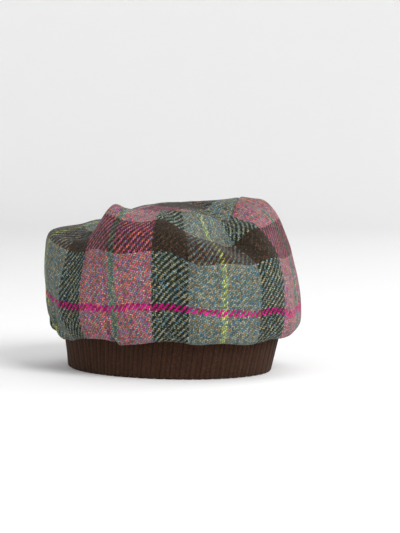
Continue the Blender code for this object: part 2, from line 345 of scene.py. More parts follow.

# The knit: columns of stitches to a rib, a stitch's height in metres, its slant and rounding, the painted
# shade between stitches and the painted light that a crest adds, how far its yarns are mixed, and from what
# chance on it shows a lighter hair
WALES_PER_RIB = 4.0
COURSE_HEIGHT = 0.00125
STITCH_SLANT = 1.3
STITCH_ROUNDING = 0.5
PAINTED_STITCH_SHADE = 0.66
PAINTED_STITCH_CREST = 0.42
YARN_MIX = 0.9
HAIR_FROM = 0.93

# Painted groove shade: a dark line along the middle of each rib, half a rib off the modelled grooves. It
# starts this share of a rib from the groove, grows this fast and ends this strong
LINE_FROM = 0.41
LINE_GROWTH = 11.0
PAINTED_LINE_SHADE = 0.88

# How each cloth takes the light: its bump's strength and depth in metres, how much its roughness varies and
# from what value up, and its shader's gloss and sheen
FINISHES = {
    "tweed": {
        "bump": 0.55, "relief": 0.0004, "roughness": (0.14, 0.82), "specular": 0.12,
        "sheen": 0.10, "tint": (0.86, 0.88, 0.84, 1.0),
    },
    "knit": {
        "bump": 0.5, "relief": 0.00028, "roughness": (0.1, 0.84), "specular": 0.16,
        "sheen": 0.05, "tint": (0.80, 0.62, 0.50, 1.0),
    },
}
SHEEN_ROUGHNESS = 0.5

# The top panel's place on the sett, in metres
TOP_PATTERN = (0.030, 0.088)

# The camera: the photo's angle round the hat, just above the floor, through a long lens. Sizes in metres, the
# sensor's in millimetres
CAMERA_AZIMUTH = -50.0
CAMERA_ELEVATION = 4.0
CAMERA_DISTANCE = 1.6
CAMERA_REACH = 50.0
IMAGE_SIZE = (400, 533)
PIXELS_PER_METRE = 1120.0
HAT_AT_PIXEL = (175.5, 282.0)
SENSOR = 36.0

# The studio's light: lamps by azimuth and elevation from the hat, with sizes and distances in metres
WORLD_STRENGTH = 0.42
LAMP_COLUMNS = ("name", "azimuth", "elevation", "distance", "size", "watts")
LAMPS = (
    ("key", -12.0, 36.0, 3.0, 1.5, 76.0),
    ("fill_left", -118.0, 30.0, 3.1, 2.0, 13.0),
    ("fill_right", 80.0, 35.0, 3.1, 2.0, 20.0),
    ("over", 60.0, 80.0, 3.3, 2.2, 14.0),
)

# The stage: a round floor with one ring of points in it, which bends up into a wall
FLOOR_RING = 1.2
FLOOR_RADIUS = 2.6
WALL_BEND = 1.0
WALL_TOP = 2.2
STAGE_SEGMENTS = 96
FLOOR_COLOUR = (0.88, 0.88, 0.88, 1.0)
FLOOR_ROUGHNESS = 0.9
FLOOR_SPECULAR = 0.2

SEED = 38
rng = np.random.default_rng(SEED)


def column(table, columns, name):
    return np.array([row[columns.index(name)] for row in table], float)


def closed_curve(table, columns, name, turn):
    """A column of a table at these turns, on a smooth closed curve through its rows."""
    at = column(table, columns, "turn")
    value = column(table, columns, name)
    gap = (np.roll(at, -1) - at) % 360
    rise = (np.roll(value, -1) - value) / gap
    before, after = np.roll(gap, 1), gap
    slope = (np.roll(rise, 1) * after + rise * before) / (before + after)
    start = np.searchsorted(at, turn % 360, side="right") - 1
    end = (start + 1) % len(at)
    share = ((turn % 360) - at[start]) / gap[start]
    bend_start = slope[start] * gap[start] * share * (1 - share) ** 2
    bend_end = slope[end] * gap[start] * share**2 * (1 - share)
    ease = share**2 * (3 - 2 * share)
    return value[start] * (1 - ease) + value[end] * ease + bend_start - bend_end


def section_value(name, turn):
    return closed_curve(SECTIONS, SECTION_COLUMNS, name, turn)


def outward(turn):
    """Unit vectors that point out from the axis at these turns."""
    angle = np.radians(turn)
    return np.stack([-np.sin(angle), -np.cos(angle)], axis=-1)


def bell(turn, middle, width):
    """A smooth bump round the hat: 1 at its middle turn, and falling off over this many degrees."""
    across = (turn - middle + 180) % 360 - 180
    return np.exp(-((across / width) ** 2))


def oval_radius(turn, half_width, half_depth):
    angle = np.radians(turn)
    return 1 / np.sqrt((np.sin(angle) / half_width) ** 2 + (np.cos(angle) / half_depth) ** 2)


def band_radius(turn, share):
    """The band's outer radius at a share of its height: flared all round and drawn out on the low side."""
    flare = BAND_FLARE * share
    pull = BAND_PULL * share * bell(turn, BAND_PULL_TURN, BAND_PULL_WIDTH)
    return oval_radius(turn, RIM_HALF_WIDTH + flare, RIM_HALF_DEPTH + flare) + pull


def curve_through(knots, steps):
    """Points on a smooth curve through the knots, with this many steps from each knot to the next."""
    span = np.sqrt(np.linalg.norm(np.diff(knots, axis=0), axis=-1, keepdims=True))
    pace = np.diff(knots, axis=0) / span
    inner = (pace[:-1] * span[1:] + pace[1:] * span[:-1]) / (span[:-1] + span[1:])
    slope = np.concatenate([pace[:1], inner, pace[-1:]])
    points = []
    for i, count in enumerate(steps):
        for step in range(count):
            t = step / count
            ease = t * t * (3 - 2 * t)
            points.append(
                knots[i] * (1 - ease)
                + knots[i + 1] * ease
                + slope[i] * span[i] * t * (1 - t) ** 2
                - slope[i + 1] * span[i] * t * t * (1 - t)
            )
    points.append(knots[-1])
    return np.array(points)


def axis_point():
    """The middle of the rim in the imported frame, from the band's box on the sides that nothing draws out."""
    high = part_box("rib_band")[1]
    return np.array([high[0] - RIM_HALF_WIDTH - BAND_FLARE, high[1] - RIM_HALF_DEPTH])


AXIS = axis_point()


def place(turn, radius, height, forward):
    """World points from turns, radii and heights, about an axis that lies this far forward of the rim's."""
    flat = outward(turn) * radius[..., None] + AXIS - np.array([0.0, forward])
    return np.concatenate([flat, height[..., None]], axis=-1)


def fold_depth(turn, share):
    """How far the folds draw the cloth in, by turn and by the share of the side's length."""
    depth = np.zeros(np.broadcast(turn, share).shape)
    for row in FOLDS:
        fold = dict(zip(FOLD_COLUMNS, row))
        middle = (fold["start"] + fold["end"]) / 2
        half = (fold["end"] - fold["start"]) / 2
        along = np.clip(1 - ((share - middle) / half) ** 2, 0, None) ** 2
        depth += FOLD_DEPTH * fold["depth"] * bell(turn, fold["turn"], fold["width"]) * along
    return depth


def side_profile(turn):
    """Radii and heights of the side's outer face, from the band's upper edge to the top seam."""
    seat_radius = band_radius(turn, 1.0)
    top_radius = oval_radius(turn, TOP_HALF_WIDTH, TOP_HALF_DEPTH)
    seat = BAND_HEIGHT + CLEARANCE + 0 * turn
    out = section_value("belly_out", turn) * BELLY_OVERHANG
    low = BAND_HEIGHT - section_value("droop", turn) * DROOP
    belly = seat_radius + out
    belly_up = BAND_HEIGHT + section_value("belly_up", turn) * CROWN_RISE
    cheek = belly - section_value("cheek_in", turn) * TURN_IN
    cheek_up = BAND_HEIGHT + section_value("cheek_up", turn) * CROWN_RISE
    ridge = belly - section_value("ridge_in", turn) * TURN_IN
    ridge_up = BAND_HEIGHT + section_value("ridge_up", turn) * CROWN_RISE
    seam_up = BAND_HEIGHT + section_value("seam_up", turn) * CROWN_RISE
    radii = (
        seat_radius - BAND_THICKNESS / 2,
        seat_radius + CLEARANCE,
        seat_radius + out * LOWEST_AT_SHARE,
        seat_radius + out * UPTURN_AT_SHARE,
        belly,
        cheek,
        ridge,
        (ridge + top_radius) / 2,
        top_radius,
    )
    heights = (
        seat,
        seat,
        low,
        low + (belly_up - low) * UPTURN_RISE_SHARE,
        belly_up,
        cheek_up,
        ridge_up,
        (ridge_up + seam_up) / 2,
        seam_up,
    )
    knots = np.stack([np.array(radii), np.array(heights)], axis=-1)
    return curve_through(knots, SIDE_STEPS)


def surface_normals(grid):
    """Outward normals of a grid whose rows are closed rings."""
    along = np.gradient(grid, axis=0)
    around = np.roll(grid, -1, axis=1) - np.roll(grid, 1, axis=1)
    normal = np.cross(along, around)
    return normal / np.linalg.norm(normal, axis=-1, keepdims=True)


def soft_noise(turn, up, cells_round, cells_up, amount):
    """Smooth noise over turns and over a height of 0 to 1, closed round the hat."""
    grid = rng.uniform(-amount, amount, (cells_up + 2, cells_round))
    x = (turn % 360) / 360 * cells_round
    y = np.clip(up, 0, 1) * cells_up
    x0, y0 = np.floor(x).astype(int), np.floor(y).astype(int)
    fx, fy = x - x0, y - y0
    fx, fy = fx * fx * (3 - 2 * fx), fy * fy * (3 - 2 * fy)
    x0, x1 = x0 % cells_round, (x0 + 1) % cells_round
    low = grid[y0, x0] * (1 - fx) + grid[y0, x1] * fx
    high = grid[y0 + 1, x0] * (1 - fx) + grid[y0 + 1, x1] * fx
    return low * (1 - fy) + high * fy


def gathers(turn, distance, values):
    """How far the gathers beside a seam draw the cloth in, by turn and by length of cloth from the seam."""
    row = dict(zip(GATHER_COLUMNS, values))
    drawn_in = np.zeros(turn.shape)
    for middle in np.arange(0, 360, row["every"]):
        middle = middle + rng.uniform(-row["moved"], row["moved"])
        width = rng.uniform(row["narrow"], row["wide"])
        depth = rng.uniform(row["least"], 1.0) * row["depth"]
        reach = rng.uniform(row["short"], row["long"])
        along = np.clip(1 - distance / reach, 0, 1) ** row["fall"]
        drawn_in += depth * bell(turn, middle, width) * along
    return drawn_in


def side_relief(turn, up):
    """How far the fine gathers and the cloth's own unevenness stand off the plain side, in metres."""
    share = up / up[-1]
    from_band, to_top = SIDE_WAVES_FADE
    relief = sum(soft_noise(turn, share, *wave) for wave in SIDE_WAVES)
    relief *= np.clip(share / from_band, 0, 1) * np.clip((1 - share) / to_top, 0, 1)
    relief -= gathers(turn, up, BAND_GATHERS) * np.clip(up / BAND_GATHERS_START, 0, 1)
    relief -= gathers(turn, up[-1] - up, SEAM_GATHERS)
    return relief


def tuck_relief(turn, up):
    """How far the tucks stand off the side, or in."""
    relief = np.zeros(turn.shape)
    for row in TUCKS:
        tuck = dict(zip(TUCK_COLUMNS, row))
        share = np.clip((up - tuck["start"]) / (tuck["end"] - tuck["start"]), 0, 1)
        middle = tuck["turn_low"] + (tuck["turn_high"] - tuck["turn_low"]) * share
        along = np.sin(np.pi * share**TUCK_LEAN) ** TUCK_FULLNESS
        relief += tuck["height"] * bell(turn, middle, tuck["width"]) * along
    return relief


def seam_roll(distance):
    """How far into the top seam the cloth has rolled, from 0 to 1, at this length of cloth from it."""
    return np.clip(1 - distance / SEAM_ROLL_WIDTH, 0, 1) ** 2


def side_surface(turn):
    """The side's outer face as rows of world points, their normals, lengths of cloth up and shares of painted
    fold shade.
    """
    profile = side_profile(turn)
    radius, height = profile[..., 0].copy(), profile[..., 1].copy()
    length = np.linalg.norm(np.diff(profile, axis=0), axis=-1).cumsum(axis=0)
    length = np.concatenate([np.zeros((1, len(turn))), length])
    share = length / length[-1]
    radius -= fold_depth(turn, share)
    near_top = np.clip((share - TOP_GATHER_FROM) / (1 - TOP_GATHER_FROM), 0, 1)
    swell = np.sin(np.pi * near_top**TOP_GATHER_LEAN)
    height += TOP_GATHER_DEPTH * swell * np.cos(np.radians(turn) * TOP_GATHER_COUNT)
    plain = place(turn, radius, height, BAND_FORWARD)
    normal = surface_normals(plain)
    turns = np.broadcast_to(turn, length.shape)
    relief = side_relief(turns, length) + tuck_relief(turns, length)
    relief -= SIDE_ROLL_DEPTH * seam_roll(length[-1] - length)
    # The seam that joins the strip's ends at the back
    off_seam = np.radians((turn - SEAM_TURN + 180) % 360 - 180) * radius
    groove = np.exp(-((off_seam / SEAM_WIDTH) ** 2))
    ridges = np.exp(-(((np.abs(off_seam) - SEAM_RIDGE_AT) / SEAM_RIDGE_WIDTH) ** 2))
    relief += SEAM_DEPTH * (SEAM_RIDGE_SHARE * ridges - groove) * np.clip(share / SEAM_START, 0, 1)
    # How deep each point lies in a fold, from 0 to 1, which sets the shade painted into the folds
    deep = np.clip(-relief / DEEP_FOLD, 0, 1) ** DEEP_FOLD_FALL
    return plain + normal * relief[..., None], normal, length, deep


def closed(grid):
    """A grid with its first column again at the end, where the cloth's ends meet."""
    return np.concatenate([grid, grid[:, :1]], axis=1)


def inner_rows(count):
    """The outer face's rows that the inner face repeats, from the last down, and always with the first."""
    rows = np.arange(count)[::-INNER_EVERY]
    return rows if rows[-1] == 0 else np.append(rows, 0)


def grid_mesh(name, rings, uv, material, closed_section=True, cap=None, deep=None):
    """A mesh of closed rings. uv has one column more than they do, where the cloth's ends meet."""
    rows, count = rings.shape[:2]
    pairs = rows if closed_section else rows - 1
    i, j = np.meshgrid(np.arange(pairs), np.arange(count), indexing="ij")
    i, j = i.ravel(), j.ravel()
    up = (i + 1) % rows
    after = (j + 1) % count
    quads = np.stack([i * count + j, i * count + after, up * count + after, up * count + j], axis=-1)
    corner_uv = np.stack([uv[i, j], uv[i, j + 1], uv[up, j + 1], uv[up, j]], axis=1).reshape(-1, 2)
    points = rings.reshape(-1, 3)
    faces = [tuple(q) for q in quads.tolist()]
    if cap is not None:
        points = np.concatenate([points, cap["points"]])
        faces += cap["faces"]
        corner_uv = np.concatenate([corner_uv, cap["uv"]])
    mesh = bpy.data.meshes.new(name)
    mesh.from_pydata(points.tolist(), [], faces)
    layer = mesh.uv_layers.new(name="cloth")
    layer.data.foreach_set("uv", corner_uv.astype(np.float32).ravel())
    # The folds' painted shade, kept on the points
    if deep is not None:
        shades = mesh.attributes.new("painted_fold_shade", "FLOAT", "POINT")
        shades.data.foreach_set("value", (PAINTED_FOLD_SHADE * deep).astype(np.float32).ravel())
    mesh.update()
    mesh.shade_smooth()
    mesh.materials.append(material)
    made = bpy.data.objects.new(name, mesh)
    bpy.context.scene.collection.objects.link(made)
    return made


def face_outwards(made):
    """Turns the faces to point out, by the sign of the volume they enclose."""
    mesh = made.data
    mesh.calc_loop_triangles()
    points = np.empty(len(mesh.vertices) * 3)
    mesh.vertices.foreach_get("co", points)
    index = np.empty(len(mesh.loop_triangles) * 3, dtype=np.int64)
    mesh.loop_triangles.foreach_get("vertices", index)
    corners = points.reshape(-1, 3)[index.reshape(-1, 3)]
    if np.linalg.det(corners).sum() < 0:
        mesh.flip_normals()


# Materials


def linear(colour):
    """A colour of 0 to 255 in sRGB as linear light."""
    parts = []
    for part in colour:
        part = part / 255
        parts.append(part / 12.92 if part <= 0.04045 else ((part + 0.055) / 1.055) ** 2.4)
    return (*parts, 1.0)


class Graph:
    """A material's nodes, made one at a time."""

    def __init__(self, name):
        self.material = bpy.data.materials.new(name)
        self.material.use_nodes = True
        self.nodes = self.material.node_tree.nodes
        self.links = self.material.node_tree.links
        self.shader = self.nodes["Principled BSDF"]

    def node(self, kind, **settings):
        made = self.nodes.new(kind)
        for key, value in settings.items():
            setattr(made, key, value)
        return made

    def put(self, socket, value):
        if isinstance(value, bpy.types.NodeSocket):
            self.links.new(value, socket)
        else:
            socket.default_value = value

    def math(self, operation, *values, clamp=False):
        made = self.node("ShaderNodeMath", operation=operation, use_clamp=clamp)
        for socket, value in zip(made.inputs, values):
            self.put(socket, value)
        return made.outputs[0]

    def pair(self, x, y):
        made = self.node("ShaderNodeCombineXYZ")
        self.put(made.inputs[0], x)
        self.put(made.inputs[1], y)
        return made.outputs[0]

    def chance(self, x, y):
        """A random number from 0 to 1 for each pair of whole numbers."""
        made = self.node("ShaderNodeTexWhiteNoise", noise_dimensions="2D")
        self.put(made.inputs["Vector"], self.pair(x, y))
        return made.outputs["Value"]

    def steps(self, position, stops):
        """A colour that changes sharply at each (start, colour)."""
        made = self.node("ShaderNodeValToRGB")
        ramp = made.color_ramp
        ramp.interpolation = "CONSTANT"
        while len(ramp.elements) < len(stops):
            ramp.elements.new(1.0)
        for element, (start, colour) in zip(ramp.elements, stops):
            element.position = start
            element.color = colour
        self.put(made.inputs["Fac"], position)
        return made.outputs["Color"]

    def blend(self, share, first, second):
        """A number between two numbers."""
        made = self.node("ShaderNodeMix", data_type="FLOAT")
        self.put(made.inputs["Factor"], share)
        self.put(made.inputs[2], first)
        self.put(made.inputs[3], second)
        return made.outputs[0]

    def mix(self, share, first, second, blend="MIX"):
        made = self.node("ShaderNodeMix", data_type="RGBA", blend_type=blend)
        self.put(made.inputs["Factor"], share)
        self.put(made.inputs[6], first)
        self.put(made.inputs[7], second)
        return made.outputs[2]

    def vary(self, shade, chance, amount):
        """A shade made lighter or darker by a number from 0 to 1, by this much from end to end."""
        return self.math("MULTIPLY", shade, self.math("MULTIPLY_ADD", chance, amount, 1 - amount / 2))

    def noise(self, vector, scale, detail=2.0):
        made = self.node("ShaderNodeTexNoise")
        self.put(made.inputs["Vector"], vector)
        made.inputs["Scale"].default_value = scale
        made.inputs["Detail"].default_value = detail
        return made.outputs["Fac"]

    def finish(self, colour, shade, height, rough, cloth):
        """Sets the shader: a shaded colour, a bump by height, and a cloth's roughness, gloss and sheen."""
        look = FINISHES[cloth]
        sockets = self.shader.inputs
        grey = self.node("ShaderNodeCombineColor")
        for socket in grey.inputs:
            self.put(socket, shade)
        self.put(sockets["Base Color"], self.mix(1.0, colour, grey.outputs[0], blend="MULTIPLY"))
        bump = self.node("ShaderNodeBump")
        bump.inputs["Strength"].default_value = look["bump"]
        bump.inputs["Distance"].default_value = look["relief"]
        self.put(bump.inputs["Height"], height)
        self.put(sockets["Normal"], bump.outputs["Normal"])
        self.put(sockets["Roughness"], self.math("MULTIPLY_ADD", rough, *look["roughness"]))
        sockets["Specular IOR Level"].default_value = look["specular"]
        sockets["Sheen Weight"].default_value = look["sheen"]
        sockets["Sheen Roughness"].default_value = SHEEN_ROUGHNESS
        sockets["Sheen Tint"].default_value = look["tint"]
        return self.material


def yarn_colour(graph, position, threads, chance):
    """The colour a fleck shows at a position along the sett: one of the yarn's tones, by chance."""
    total = sum(count for _, count in threads)
    colour = None
    for tone, share in enumerate(TONE_STARTS):
        stops = []
        start = 0
        for name, count in threads:
            stops.append((start / total, linear(YARNS[name][tone])))
            start += count
        made = graph.steps(position, stops)
        if colour is None:
            colour = made
        else:
            colour = graph.mix(graph.math("GREATER_THAN", chance, share), colour, made)
    return colour


def tweed_material(name):
    """A 2/2 twill whose threads take their colours from the sett, with heather flecks, thread relief, and
    painted light and shade on its floats and in its folds.
    """
    graph = Graph(name)
    uv = graph.node("ShaderNodeUVMap", uv_map="cloth").outputs["UV"]
    split = graph.node("ShaderNodeSeparateXYZ")
    graph.put(split.inputs[0], uv)
    across = graph.math("DIVIDE", split.outputs[0], WARP_PITCH)
    along = graph.math("DIVIDE", split.outputs[1], WEFT_PITCH)
    warp = graph.math("FLOOR", across)
    weft = graph.math("FLOOR", along)
    column_total = sum(count for _, count in COLUMN_THREADS)
    row_total = sum(count for _, count in ROW_THREADS)
    column_at = graph.math("FRACT", graph.math("DIVIDE", graph.math("ADD", warp, 0.5), column_total))
    row_at = graph.math("FRACT", graph.math("DIVIDE", graph.math("ADD", weft, 0.5), row_total))
    warp_place = graph.math("DIVIDE", graph.math("ADD", warp, along), FLOAT_REPEAT)
    weft_place = graph.math("DIVIDE", graph.math("ADD", across, weft), FLOAT_REPEAT)
    # A yarn's flecks are short and start at another place on each thread. The bare numbers that stand beside
    # a thread's own in a chance only keep one draw apart from another
    warp_fleck = graph.math("DIVIDE", graph.math("ADD", along, graph.chance(warp, 5.0)), FLECK_LENGTH)
    weft_fleck = graph.math("DIVIDE", graph.math("ADD", across, graph.chance(7.0, weft)), FLECK_LENGTH)
    warp_chance = graph.chance(warp, graph.math("FLOOR", warp_fleck))
    weft_chance = graph.chance(graph.math("FLOOR", weft_fleck), graph.math("ADD", weft, 0.37))
    warp_colour = yarn_colour(graph, column_at, COLUMN_THREADS, warp_chance)
    weft_colour = yarn_colour(graph, row_at, ROW_THREADS, weft_chance)
    # Warp floats over two wefts, then weft over two warps; each float is a rounded crest
    phase = graph.math("FLOORED_MODULO", graph.math("ADD", warp, weft), FLOAT_REPEAT)
    warp_over = graph.math("LESS_THAN", phase, FLOAT_REPEAT / 2 - 0.5)
    heights = []
    for place_on, side, shift in ((warp_place, across, 0.0), (weft_place, along, -0.5)):
        run = graph.math("MULTIPLY", graph.math("ADD", graph.math("FRACT", place_on), shift), 2 * math.pi)
        crest = graph.math("SINE", run)
        round_side = graph.math("SINE", graph.math("MULTIPLY", graph.math("FRACT", side), math.pi))
        lifted = graph.math("MULTIPLY", graph.math("MAXIMUM", crest, 0.0), round_side)
        heights.append(graph.math("POWER", lifted, FLOAT_ROUNDING))
    height = graph.blend(warp_over, heights[1], heights[0])
    # Stray fibres: some flecks of a float show the yarn it crosses
    stray = graph.chance(
        graph.math("FLOOR", graph.math("MULTIPLY", across, STRAY_PER_THREAD)),
        graph.math("FLOOR", graph.math("MULTIPLY", along, STRAY_PER_THREAD)),
    )
    brown_start = sum(count for _, count in ROW_THREADS[:2]) / row_total
    brown_end = sum(count for _, count in ROW_THREADS[:3]) / row_total
    past_start = graph.math("GREATER_THAN", row_at, brown_start)
    in_brown = graph.math("MULTIPLY", past_start, graph.math("LESS_THAN", row_at, brown_end))
    in_warp = graph.math("MULTIPLY", graph.math("LESS_THAN", stray, STRAY_IN_WARP), -STRAY_STRENGTH)
    in_warp = graph.math("MULTIPLY_ADD", in_brown, -BROWN_FUZZ, in_warp)
    in_weft = graph.math("MULTIPLY", graph.math("GREATER_THAN", stray, 1 - STRAY_IN_WEFT), STRAY_STRENGTH)
    in_weft = graph.math("MULTIPLY", in_weft, graph.math("MULTIPLY_ADD", in_brown, -BROWN_WHOLE, 1.0))
    # The bright line across stays whole
    past_line = graph.math("GREATER_THAN", row_at, ROW_THREADS[0][1] / row_total)
    in_weft = graph.math("MULTIPLY", in_weft, past_line)
    share = graph.blend(warp_over, in_weft, graph.math("ADD", in_warp, 1.0, clamp=True))
    colour = graph.mix(share, weft_colour, warp_colour)
    # Each thread is a little lighter or darker than the next, each float more so, at random; the gaps between
    # floats get painted shade and the crests painted light
    slub = graph.math("ADD", graph.chance(warp, 11.0), graph.chance(13.0, weft))
    slub = graph.math("MULTIPLY_ADD", slub, THREAD_TONE, 1 - THREAD_TONE)
    warp_float = graph.chance(warp, graph.math("ADD", graph.math("FLOOR", warp_place), 0.71))
    weft_float = graph.chance(graph.math("ADD", graph.math("FLOOR", weft_place), 0.29), weft)
    slub = graph.vary(slub, graph.blend(warp_over, weft_float, warp_float), FLOAT_TONE)
    # Painted light on the floats' crests and painted shade in the gaps between them
    shade = graph.math("MULTIPLY_ADD", height, PAINTED_GAP_SHADE, PAINTED_CREST_SHADE - PAINTED_GAP_SHADE)
    shade = graph.math("MULTIPLY", shade, slub)
    shade = graph.vary(shade, graph.noise(uv, CLOUD_SCALE), CLOUD_TONE)
    shade = graph.vary(shade, graph.noise(uv, SPECK_SCALE, detail=1.0), SPECK_CONTRAST)
    # Painted shade: the folds are darker deep down
    deep = graph.node("ShaderNodeAttribute", attribute_name="painted_fold_shade").outputs["Fac"]
    shade = graph.math("MULTIPLY", shade, graph.math("SUBTRACT", 1.0, deep))
    fuzz = graph.noise(uv, FUZZ_SCALE, detail=3.0)
    height = graph.math("MULTIPLY_ADD", fuzz, FUZZ_RELIEF, height)
    return graph.finish(colour, shade, height, fuzz, "tweed")


def knit_material(name):
    """A fine rib knit: columns of V stitches along each rib, with hairs of lighter yarn."""
    graph = Graph(name)
    split = graph.node("ShaderNodeSeparateXYZ")
    graph.put(split.inputs[0], graph.node("ShaderNodeUVMap", uv_map="cloth").outputs["UV"])
    rib, up = split.outputs[0], split.outputs[1]
    wale = graph.math("MULTIPLY", rib, WALES_PER_RIB)
    half_wale = graph.math("MULTIPLY", wale, 2.0)
    course = graph.math("DIVIDE", up, COURSE_HEIGHT)
    middle = graph.math("ABSOLUTE", graph.math("SUBTRACT", graph.math("FRACT", wale), 0.5))
    slanted = graph.math("MULTIPLY_ADD", middle, STITCH_SLANT, course)
    leg = graph.math("SINE", graph.math("MULTIPLY", graph.math("FRACT", slanted), math.pi))
    wall = graph.math("SINE", graph.math("MULTIPLY", graph.math("FRACT", half_wale), math.pi))
    height = graph.math("POWER", graph.math("MULTIPLY", leg, wall), STITCH_ROUNDING)
    stitch = graph.chance(graph.math("FLOOR", half_wale), graph.math("FLOOR", slanted))
    brown, dark, hair = (linear(yarn) for yarn in BAND_YARN)
    colour = graph.mix(graph.math("MULTIPLY", stitch, YARN_MIX), brown, dark)
    colour = graph.mix(graph.math("GREATER_THAN", stitch, HAIR_FROM), colour, hair)
    # Painted shade between the stitches and painted light on their crests
    shade = graph.math("MULTIPLY_ADD", height, PAINTED_STITCH_CREST, PAINTED_STITCH_SHADE)
    # Painted groove shade, which falls along the middle of each rib
    off_groove = graph.math("ABSOLUTE", graph.math("SUBTRACT", graph.math("FRACT", rib), 0.5))
    line = graph.math("SUBTRACT", off_groove, LINE_FROM, clamp=True)
    line = graph.math("MULTIPLY", line, LINE_GROWTH, clamp=True)
    shade = graph.math("MULTIPLY", shade, graph.math("MULTIPLY_ADD", line, -PAINTED_LINE_SHADE, 1.0))
    return graph.finish(colour, shade, height, stitch, "knit")


def plain_material(name, colour, roughness, specular):
    graph = Graph(name)
    graph.shader.inputs["Base Color"].default_value = colour
    graph.shader.inputs["Roughness"].default_value = roughness
    graph.shader.inputs["Specular IOR Level"].default_value = specular
    return graph.material


# Pieces


def side_turns():
    """Turns of the side's segments from the back seam round, closer together by the seam."""
    near = np.arange(SEAM_SEGMENTS + 1) * SEAM_SEGMENT
    rest = []
    start = SEAM_TURN + SEAM_STRETCH
    for end, count in SIDE_STRETCHES:
        rest.append(np.linspace(start, end, count, endpoint=False))
        start = end
    return np.concatenate([SEAM_TURN + near, *rest, SEAM_TURN + 360 - near[:0:-1]])


def belly_length(turn, ring):
    """Lengths round the belly's ring from turn 0, less than 0 before it, and one more where its ends meet."""
    step = np.linalg.norm(np.roll(ring, -1, axis=0) - ring, axis=-1)
    length = np.concatenate([[0.0], step.cumsum()])
    at_front = np.interp(360.0, np.append(turn, turn[0] + 360), length)
    return length - at_front


def smooth_step(value, start, span):
    share = np.clip((value - start) / span, 0, 1)
    return share * share * (3 - 2 * share)


def gathered_cloth(turn, up):
    """How much cloth the low side's gathers take in from the front to this turn; turns run on past 360."""
    past = turn - 360
    start, end = GATHERED_LOW_HEIGHT
    eased = smooth_step(past, *GATHERED_EASED_TURNS)
    low = 1 - smooth_step(up, start, end - start + GATHERED_EASED_HEIGHT * eased)
    low *= 1 - GATHERED_EASED_SHARE * eased
    all_up = GATHERED_ALL[0] * smooth_step(past, GATHERED_FROM, GATHERED_ALL[1])
    return all_up + GATHERED_LOW[0] * smooth_step(past, GATHERED_FROM, GATHERED_LOW[1]) * low


def row_height(turn, up):
    """The place across the rows: 0 at the magenta line's lower edge, from each point's length of cloth up."""
    magenta = closed_curve(PLAID_ROWS, PLAID_COLUMNS, "magenta_up", turn)
    brown = closed_curve(PLAID_ROWS, PLAID_COLUMNS, "brown_up", turn)
    half_line = ROW_THREADS[0][1] / 2 * WEFT_PITCH
    light = half_line + ROW_THREADS[1][1] * WEFT_PITCH
    between = np.clip((up - magenta) / (brown - magenta), 0, 1) * light
    return half_line + between + np.minimum(up - magenta, 0) + np.maximum(up - brown, 0)


def make_side(material, turn):
    outer, normal, up, deep = side_surface(turn)
    down = np.array([0.0, 0.0, CLOTH_THICKNESS])
    rows = inner_rows(len(outer))
    inner = (outer - normal * CLOTH_THICKNESS)[rows]
    inner[0] = outer[-1] - down
    inner[-1] = outer[0] + down
    belly_row = sum(SIDE_STEPS[:BELLY_KNOT])
    round_belly = belly_length(turn, outer[belly_row]) - COLUMN_START
    turns = np.append(turn, turn[0] + 360)
    u = round_belly + gathered_cloth(turns, closed(up))
    v = closed(row_height(np.broadcast_to(turn, up.shape), up))
    uv = np.stack([u, v], axis=-1)
    rings = np.concatenate([outer, inner])
    uv = np.concatenate([uv, uv[rows]])
    deep = np.concatenate([deep, np.zeros(inner.shape[:2])])
    made = grid_mesh("crown_side_tweed", rings, uv, material, deep=deep)
    face_outwards(made)
    return made, outer


def panel_relief(turn, share, from_seam):
    """How far the top panel's waves, creases and rolled edge stand off its plain dome."""
    crease = dict(zip(PANEL_CREASE_COLUMNS, PANEL_CREASES))
    relief = soft_noise(turn, share, *PANEL_WAVES) * np.clip(share / PANEL_WAVES_FADE, 0, 1)
    near_edge = np.clip((share - crease["start"]) / (1 - crease["start"]), 0, 1) ** crease["fall"]
    for middle in np.arange(0, 360, crease["every"]):
        middle = middle + rng.uniform(-crease["moved"], crease["moved"])
        depth = rng.uniform(crease["least"], 1.0) * crease["depth"]
        width = rng.uniform(crease["narrow"], crease["wide"])
        relief -= depth * bell(turn, middle, width) * near_edge
    return relief - PANEL_ROLL_DEPTH * seam_roll(from_seam)


